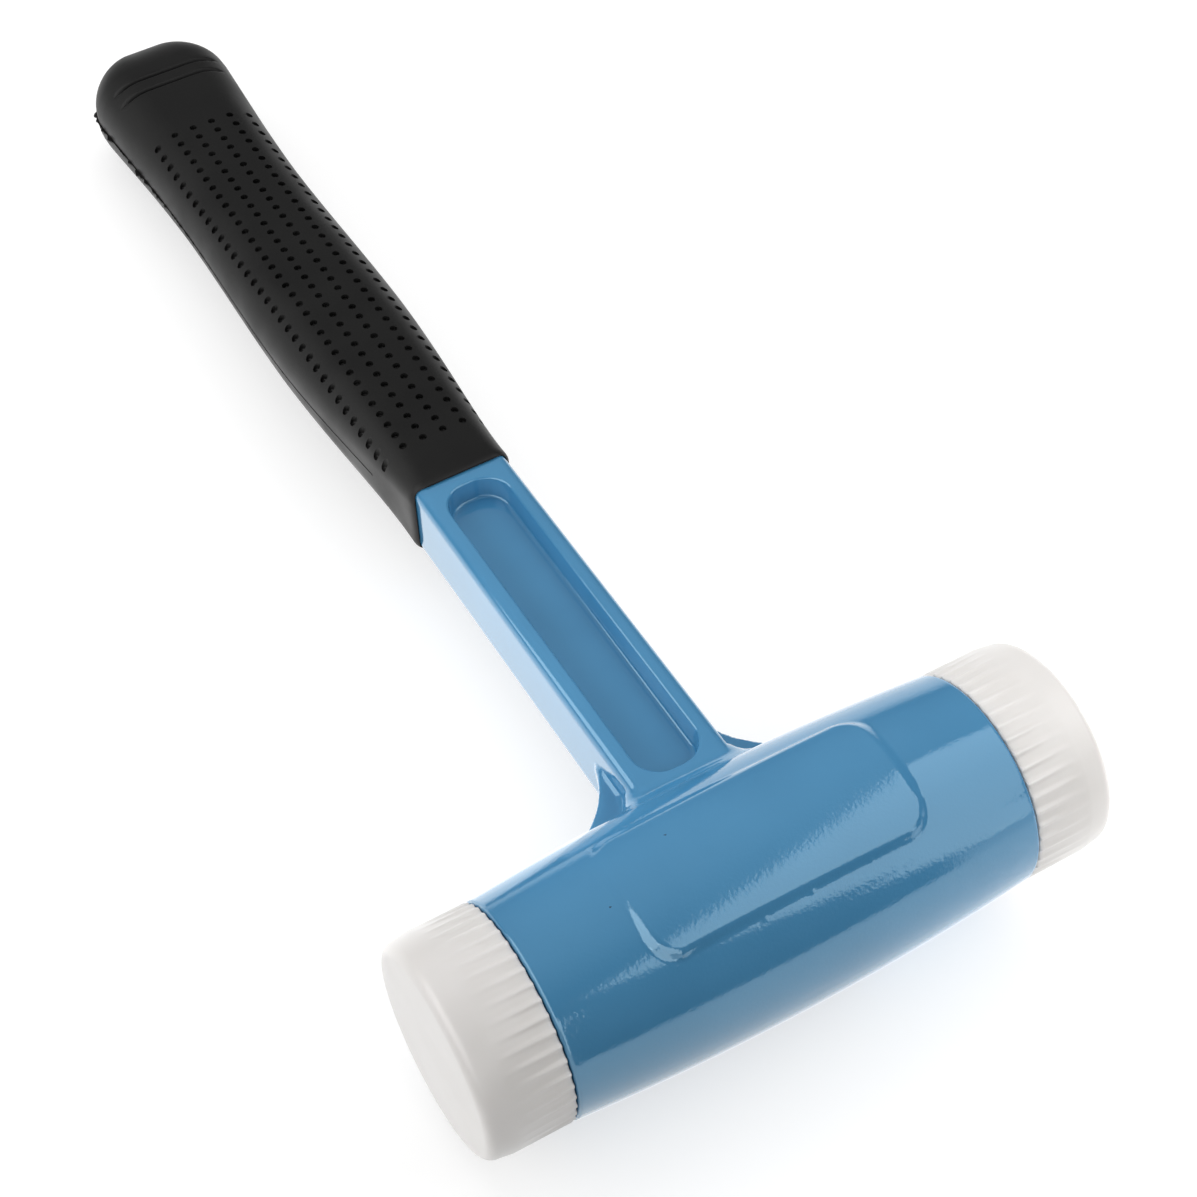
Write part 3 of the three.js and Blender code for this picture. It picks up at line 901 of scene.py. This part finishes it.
# The thin tattered flash that the mould left along the grip's edge
def flashStrip(side):
    size = gripFlash
    draw = np.random.default_rng(size["seed"] + side)
    bpy.ops.mesh.primitive_grid_add(x_subdivisions=2, y_subdivisions=size["pieces"], size=2)
    piece = newPiece("flashStrip")
    x, y, _ = placesOf(piece).T * mm
    length = size["end"] - size["start"]
    distances = size["start"] + (y + 1) / 2 * length
    halfWidth = gripSizes(distances)[0]
    order = np.round((y + 1) / 2 * size["pieces"]).astype(int)
    tatter = draw.random(size["pieces"] + 1) ** 3  # mostly small, now and then a long one
    growth = softStep(*size["growth"], (distances - size["start"]) / length)
    least = size["leastRise"]
    rise = size["rise"] * (least + (1 - least) * growth) + size["tatters"] * tatter[order] * growth
    toothAt, toothHeight, toothHalf = size["tooth"]
    if side < 0:
        rise = rise + toothHeight * np.exp(-((distances - toothAt) / toothHalf) ** 2)
    innerRoot, middleRoot = size["rooted"]
    reach = halfWidth + np.where(x > 0.5, rise, np.where(x < -0.5, -innerRoot, -middleRoot))
    setPlaces(piece, np.column_stack((side * reach, distances, np.zeros_like(reach))))
    useModifier(piece, "SOLIDIFY", thickness=size["thickness"] * mm, offset=0)
    cleanMesh(piece)
    return piece


def makeGrip():
    piece = makeGripBlank()
    for side in (-1, 1):
        cutOrJoin(piece, flashStrip(side), "UNION")
    gap = 2 * fitGap
    shoulder = grip["mouth"] + grip["lipLength"] + fitGap
    below = grip["mouth"] - 2
    shankPart = handleBar("shankTool", hammer["shankMouthWidth"] + gap, hammer["shankThickness"] + gap,
                          below, shoulder, hammer["shankCorner"] + fitGap)
    cutOrJoin(piece, shankPart, "DIFFERENCE")
    tangPart = handleBar("tangTool", hammer["tangWidth"] + gap, hammer["tangThickness"] + gap, below,
                         hammer["tangEnd"] + fitGap, casting["tangBevel"] + fitGap)
    cutOrJoin(piece, tangPart, "DIFFERENCE")
    cutOrJoin(piece, dimpleTool(), "DIFFERENCE")
    finishPiece(piece, "hammer", "grip", "rubber")


# Nylon striking faces
nylonFace = {
    "length": 20,
    "edgeRadius": 2.7,
    "draft": 0.5,
    "backRound": 0.35,
    "flutes": 45,
    "fluteLength": 13,
    "fluteDepth": 0.6,
    "ridgePower": 6,  # more for narrower ridges between wider scallops
    "fluteRim": (2.5, 0.8),  # inside the rim, where the flutes start on the back and are full
    "stepsPerFlute": 12,
}


def makeFace(side, outward):
    size = nylonFace
    radius, edge = hammer["barrelEndRadius"], size["edgeRadius"]
    rim = radius - size["draft"]
    back = size["backRound"]
    hole = hammer["studRadius"] + fitGap
    profile = [(hole, 0), (radius - 4, 0), (radius - 2, 0), (radius - back, 0)]
    profile += [(radius - back * 0.3, back * 0.3), (radius, back)]
    profile += [(radius, along) for along in np.linspace(1, size["fluteLength"] + 1, 14)]
    for angle in np.linspace(0, math.pi / 2, 9):
        along = size["length"] - edge + edge * math.sin(angle)
        profile.append((rim - edge + edge * math.cos(angle), along))
    profile += [(rim - edge - 3, size["length"]), (rim - edge - 10, size["length"]), (0, size["length"])]
    headEnd = hammer["studNeck"] + hammer["studHeadThickness"] + fitGap
    headStart = hammer["studNeck"] - fitGap
    pocketRadius = hammer["studHeadRadius"] + fitGap
    inner = [(0, headEnd), (pocketRadius, headEnd), (pocketRadius, headStart), (hole, headStart), (hole, 0)]
    piece = turnProfile(side + "NylonFace", profile + inner, size["flutes"] * size["stepsPerFlute"])
    along, y, z = placesOf(piece).T
    distance = np.hypot(y, z)
    turn = np.arctan2(y, z)
    fade = np.clip(1 - along / size["fluteLength"], 0, 1)
    start, full = size["fluteRim"]
    fluted = softStep(radius - start, radius - full, distance)
    groove = 1 - np.sin(size["flutes"] * turn / 2) ** size["ridgePower"]
    share = (distance - size["fluteDepth"] * groove * fade * fluted) / np.maximum(distance, tiny)
    reshape(piece, outward * (along + halfBarrel + fitGap), y * share, z * share)
    finishPiece(piece, side + "_face", side + "_face", "nylon")


# Threaded studs, cut as a screw of two millimetres' pitch
studThread = {
    "pitch": 2.0,
    "depth": 0.95,
    "flank": (1.25, 0.12),  # steepness, and the share of the depth that makes the crest flat
    "runOut": (2.5, 0.5),  # before the head, where the thread starts to fade and is gone
    "tipChamfer": 1.2,
    "tipRadius": 4,
    "steps": 72,
    "ringsPerPitch": 10,
}


def makeStud(side, outward):
    size = studThread
    radius, tip = hammer["studRadius"], -hammer["studEngagement"]
    headStart = hammer["studNeck"]
    headEnd = headStart + hammer["studHeadThickness"]
    headRadius = hammer["studHeadRadius"]
    rings = int((headStart - tip) / size["pitch"] * size["ringsPerPitch"])
    profile = [(0, tip), (radius - size["tipChamfer"], tip)]
    profile += [(radius, along) for along in np.linspace(tip + 0.05, headStart, rings)]
    profile += [(headRadius, headStart), (headRadius, headEnd), (0, headEnd)]
    piece = turnProfile(side + "ThreadedStud", profile, size["steps"])
    along, y, z = placesOf(piece).T
    distance = np.hypot(y, z)
    turn = outward * np.arctan2(y, z) / (2 * math.pi)
    wave = np.abs(((along / size["pitch"] + turn) % 1) - 0.5) * 2
    start, gone = size["runOut"]
    runOut = 1 - softStep(headStart - start, headStart - gone, along)
    steepness, crest = size["flank"]
    cut = radius - size["depth"] * np.clip(wave * steepness - crest, 0, 1) * runOut
    onTip = radius - size["tipChamfer"] + (along - tip)
    shaft = (along < headStart + 0.01) & (distance > radius - 0.2)
    target = np.where(shaft, np.minimum(cut, np.maximum(onTip, size["tipRadius"])), distance)
    share = target / np.maximum(distance, tiny)
    reshape(piece, outward * (along + halfBarrel + fitGap), y * share, z * share)
    finishPiece(piece, side + "_stud", side + "_stud", "steel")


# Plugs that close the barrel's ends
endPlug = {
    "chamfer": 0.8,
    "holeChamfer": 0.7,
    "spannerHole": 2.2,
    "spannerDepth": 5,
    "spannerCircle": 14,
    "steps": 96,
}


def makePlug(side, outward):
    size = endPlug
    radius, thick, chamfer = hammer["plugRadius"], hammer["plugThickness"], size["chamfer"]
    hole = hammer["studRadius"] + fitGap
    holeEnd = -hammer["studEngagement"] - fitGap
    profile = [(0, -thick), (radius - chamfer, -thick), (radius, -thick + chamfer), (radius, -chamfer),
               (radius - chamfer * 0.3, -chamfer * 0.3), (radius - chamfer, 0),
               (hole + size["holeChamfer"], 0), (hole, -size["holeChamfer"]), (hole, holeEnd), (0, holeEnd)]
    piece = turnProfile(side + "EndPlug", profile, size["steps"])
    for place in (-1, 1):
        bpy.ops.mesh.primitive_cylinder_add(vertices=32, radius=size["spannerHole"] * mm,
                                            depth=2 * size["spannerDepth"] * mm,
                                            location=(0, place * size["spannerCircle"] * mm, 0),
                                            rotation=(0, math.pi / 2, 0))
        cutOrJoin(piece, newPiece("spannerTool"), "DIFFERENCE")
    along, y, z = placesOf(piece).T
    reshape(piece, outward * (along + halfBarrel), y, z)
    finishPiece(piece, "hammer", side + "_end_plug", "steel")


makeCasting()
makeGrip()
for sideName, outward in (("left", -1), ("right", 1)):
    makeFace(sideName, outward)
    makeStud(sideName, outward)
    makePlug(sideName, outward)
for nodeName, node in frame["nodes"].items():
    if nodeName.startswith("shot_"):
        node.data.materials.clear()
        node.data.materials.append(finishes["steel"][0])
print("pieces made")

# Camera at the photograph's place: eye in mm in the part's frame, looking down the measured direction
photoCamera = {
    "eye": (-167.7, -370.245, 489.09),
    "right": (0.8637, -0.5040, -0.0002),
    "down": (-0.3995, -0.6844, -0.6099),
    "lens": 75.33,
    "sensor": 36.0,
}


def makeCamera():
    size = photoCamera
    data = bpy.data.cameras.new("photoCamera")
    data.lens = size["lens"]
    data.sensor_width = size["sensor"]
    data.clip_start = 0.01
    data.clip_end = 100
    camera = addObject("photoCamera", data)
    right = Vector(size["right"]).normalized()
    up = -Vector(size["down"]).normalized()
    back = right.cross(up).normalized()
    up = back.cross(right)
    turned = Matrix((right, up, back)).transposed().to_4x4()
    camera.matrix_world = Matrix.Translation(Vector(size["eye"]) * mm) @ turned
    bpy.context.scene.camera = camera


# Studio: white floor, softboxes on either side and in front, soft keys and a soft panel overhead;
# the softboxes show only in the gloss, and the keys and the panel only light and shade
rightWay = (0.77, -0.28, 0.57)
studio = {
    "target": (0, -0.12, 0.03),
    "panels": {
        "rightSoftbox": {"toward": rightWay, "distance": 1.0, "offset": (-0.35, 0.225),
                         "size": (1.12, 0.85), "radiance": 2.0, "seenBy": "gloss"},
        "rightLowSoftbox": {"toward": rightWay, "distance": 1.0, "offset": (-0.81, -0.41),
                            "size": (0.38, 0.42), "radiance": 2.0, "seenBy": "gloss"},
        "rightBackSoftbox": {"toward": rightWay, "distance": 1.0, "offset": (0.315, 0.425),
                             "size": (0.21, 0.45), "radiance": 2.0, "seenBy": "gloss"},
        "frontSoftbox": {"toward": (-0.27, -0.89, 0.36), "distance": 1.0, "offset": (-0.03, 0.025),
                         "size": (0.56, 0.65), "radiance": 2.6, "seenBy": "gloss"},
        "rightKey": {"toward": (0.67, -0.42, 0.61), "distance": 0.31, "offset": (0, 0),
                     "size": (0.30, 0.30), "radiance": 2.15, "seenBy": "shade"},
        "leftSoftbox": {"toward": (-0.87, 0.0, 0.49), "distance": 1.0, "offset": (0.1, 0.225),
                        "size": (1.8, 0.85), "radiance": 3.2, "seenBy": "gloss"},
        "leftKey": {"toward": (-0.90, 0.05, 0.42), "distance": 1.0, "offset": (0, 0),
                    "size": (1.4, 0.9), "radiance": 1.65, "seenBy": "shade"},
        "topPanel": {"toward": (0.15, 0.7, 0.7), "distance": 0.6, "offset": (0, 0),
                     "size": (0.8, 0.8), "radiance": 1.05, "seenBy": "shade"},
    },
    "horizonLight": 0.9,
    "roomLight": 0.16,
    "horizonSpan": (0.02, 0.09),  # sines of the heights where its light starts to fall and is the room's
    "ceilingLight": 0.42,
    "ceilingWay": (0, 0.5, 0.866),
    "ceilingReach": (0.5, 0.95),  # cosine of the angle from that way where the light starts and is full
    "floorColour": 0.5,
    "floorGlow": 0.6,
    "mirroredGlow": 1.0,
    "floorSize": 40,
}
# Cards round the hammer, which either gloss or plain shading sees, never the camera
studioCards = {
    "darkFlag": {"place": (0.07, -0.45, 0.04), "turn": (-90, 0),
                 "size": (0.22, 0.08), "glow": 0.12, "seenBy": "gloss"},
    "cornerFlag": {"place": (0.45, -0.45, 0.125), "turn": (-90, 0),
                   "size": (0.3, 0.25), "glow": 0.12, "seenBy": "gloss"},
    "sideCard": {"place": (-0.069, -0.015, 0.001), "turn": (0, 0),
                 "size": (0.111, 0.17), "glow": 1.9, "seenBy": "gloss"},
    "lowCard": {"place": (0.13, -0.21, 0.001), "turn": (0, 0),
                "size": (0.22, 0.17), "glow": 1.4, "seenBy": "shade"},
    "wallCard": {"place": (-0.06, -0.07, 0.06), "turn": (0, 90),
                 "size": (0.03, 0.09), "glow": 3.2, "seenBy": "shade"},
}


# A lamp panel that faces the hammer; its offset is across and up, from the line to the hammer
def addPanel(name):
    panel = studio["panels"][name]
    width, height = panel["size"]
    data = bpy.data.lights.new(name, "AREA")
    data.shape = "RECTANGLE"
    data.size = width
    data.size_y = height
    data.energy = panel["radiance"] * math.pi * width * height
    lamp = addObject(name, data)
    facing = Vector(panel["toward"]).normalized()
    across = Vector((0, 0, 1)).cross(facing).normalized()
    upward = facing.cross(across)
    centre = Vector(studio["target"]) + facing * panel["distance"]
    centre += across * panel["offset"][0] + upward * panel["offset"][1]
    turned = Matrix((across, upward, facing)).transposed().to_4x4()
    lamp.matrix_world = Matrix.Translation(centre) @ turned
    lamp.visible_glossy = panel["seenBy"] != "shade"
    lamp.visible_diffuse = panel["seenBy"] != "gloss"


# Glow of the floor where the camera sees it, straight or through something, and where gloss mirrors it
def seenGlow(tree):
    path = addNode(tree, "ShaderNodeLightPath")
    straight = workOut(tree, "ADD", path.outputs["Is Camera Ray"], path.outputs["Is Transmission Ray"],
                       use_clamp=True)
    plain = workOut(tree, "MULTIPLY", straight, studio["floorGlow"])
    return workOut(tree, "MULTIPLY_ADD", path.outputs["Is Glossy Ray"], studio["mirroredGlow"], plain)


def makeFloor():
    bpy.ops.object.select_all(action="DESELECT")
    bpy.ops.mesh.primitive_plane_add(size=studio["floorSize"])
    floor = newPiece("floor")
    grey = studio["floorColour"]
    settings = {"Base Color": (grey, grey, grey, 1), "Roughness": 0.9, "Specular IOR Level": 0.0,
                "Emission Color": (1, 1, 1, 1)}
    material, tree, shader = newMaterial("floorPaper", settings)
    link(tree, seenGlow(tree), shader.inputs["Emission Strength"])
    floor.data.materials.append(material)


# The two flags keep the far floor out of the barrel's gloss, and the bright cards lift what faces them;
# a card has only a front, so that the floor under it stays plain
def makeCard(name):
    size = studioCards[name]
    bpy.ops.object.select_all(action="DESELECT")
    turnX, turnY = (math.radians(degrees) for degrees in size["turn"])
    bpy.ops.mesh.primitive_plane_add(size=1, location=size["place"], rotation=(turnX, turnY, 0))
    card = newPiece(name)
    card.scale = (*size["size"], 1)
    settings = {"Base Color": (0, 0, 0, 1), "Roughness": 1.0, "Specular IOR Level": 0.0,
                "Emission Color": (1, 1, 1, 1), "Emission Strength": size["glow"]}
    material, tree, shader = newMaterial(name, settings)
    face = addNode(tree, "ShaderNodeNewGeometry")
    link(tree, workOut(tree, "SUBTRACT", 1.0, face.outputs["Backfacing"]), shader.inputs["Alpha"])
    card.data.materials.append(material)
    card.visible_camera = card.visible_shadow = card.visible_transmission = False
    card.visible_glossy = size["seenBy"] == "gloss"
    card.visible_diffuse = size["seenBy"] == "shade"


# Light from the room: a bright sweep along the horizon, dim above it, and a soft light overhead
def makeWorld():
    world = bpy.data.worlds.new("studioAir")
    bpy.context.scene.world = world
    world.use_nodes = True
    tree = world.node_tree
    sky = tree.nodes["Background"]
    ways = addNode(tree, "ShaderNodeTexCoord")
    split = addNode(tree, "ShaderNodeSeparateXYZ")
    link(tree, ways.outputs["Generated"], split.inputs["Vector"])
    level = rescale(tree, split.outputs["Z"], *studio["horizonSpan"],
                    studio["horizonLight"], studio["roomLight"])
    toCeiling = addNode(tree, "ShaderNodeVectorMath", {1: studio["ceilingWay"]}, operation="DOT_PRODUCT")
    link(tree, ways.outputs["Generated"], toCeiling.inputs[0])
    overhead = rescale(tree, toCeiling.outputs["Value"], *studio["ceilingReach"], 0, studio["ceilingLight"])
    sky.inputs["Color"].default_value = (1, 1, 1, 1)
    link(tree, workOut(tree, "ADD", level, overhead), sky.inputs["Strength"])


makeCamera()
makeFloor()
for cardName in studioCards:
    makeCard(cardName)
makeWorld()
for panelName in studio["panels"]:
    addPanel(panelName)
bpy.context.scene.view_settings.view_transform = "Standard"
print("studio made")
